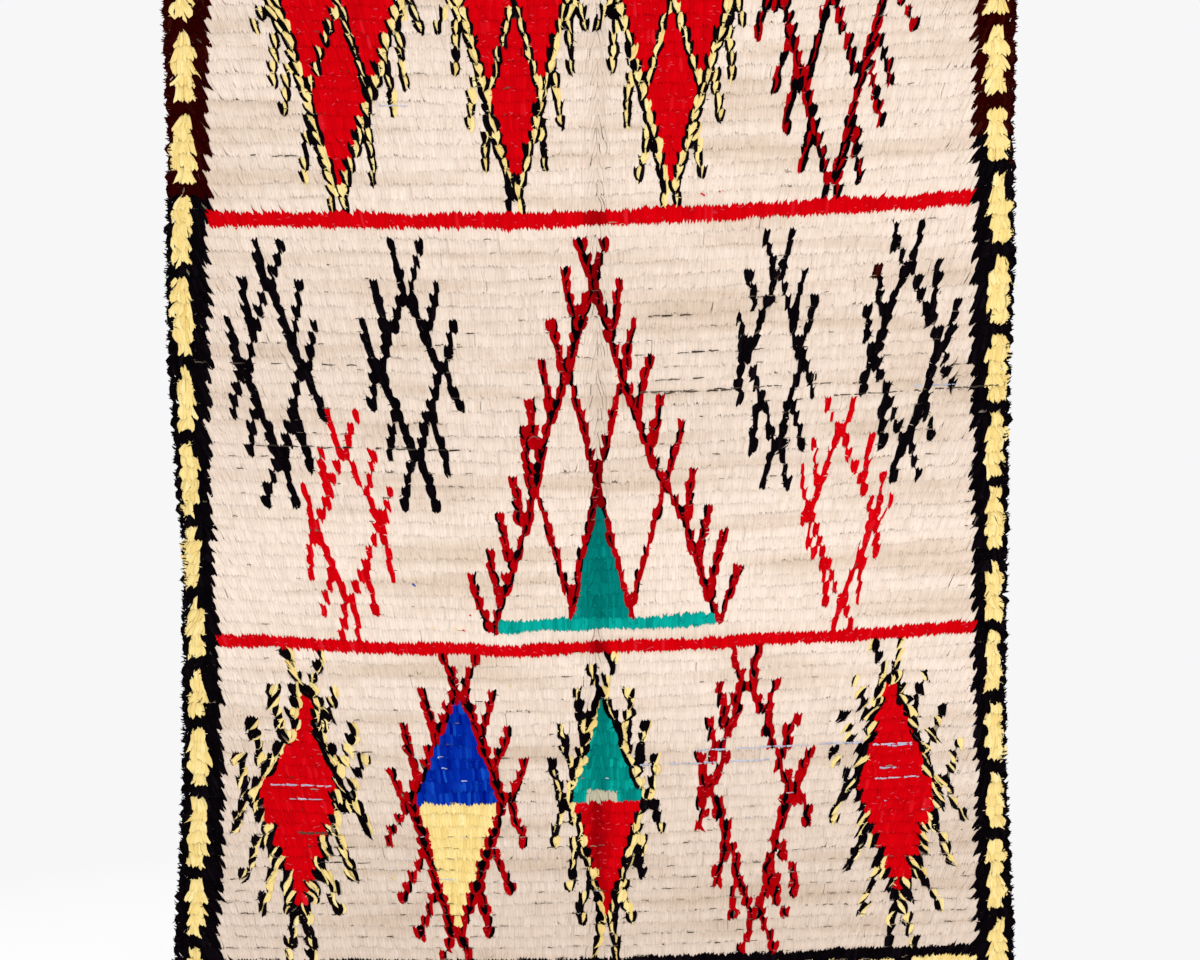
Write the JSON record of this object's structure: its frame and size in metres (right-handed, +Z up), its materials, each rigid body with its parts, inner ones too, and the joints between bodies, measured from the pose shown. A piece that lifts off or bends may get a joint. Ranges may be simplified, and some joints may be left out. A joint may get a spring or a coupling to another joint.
{
  "type": "moroccan rug",
  "caption": "Hand-knotted wool pile rug hanging by its top edge: ivory ground with barbed lozenges and a triangle between red lines, dashed dark borders, ribbed knot rows and a tufted rim.",
  "frame": {"origin": "middle of the top edge, on the flat woven back", "axes": "+Z up along the rug's length, +Y out of the woven back, the pile faces -Y"},
  "size_m": [1.2062, 0.0162, 1.8183],
  "materials": {
    "ivory_wool": "matt undyed wool pile, ivory with warmer and paler yarns mixed in",
    "red_wool": "matt dyed wool pile, bright red",
    "black_wool": "matt dyed wool pile, blue-black",
    "brown_wool": "matt wool pile, dark brown",
    "yellow_wool": "matt dyed wool pile, straw yellow",
    "teal_wool": "matt dyed wool pile, blue-green",
    "blue_wool": "matt dyed wool pile, strong blue",
    "ground_weave": "matt woven wool ground with the backs of the knots showing"
  },
  "bodies": {
    "root": {"rug": "ivory_wool"}
  },
  "joints": []
}
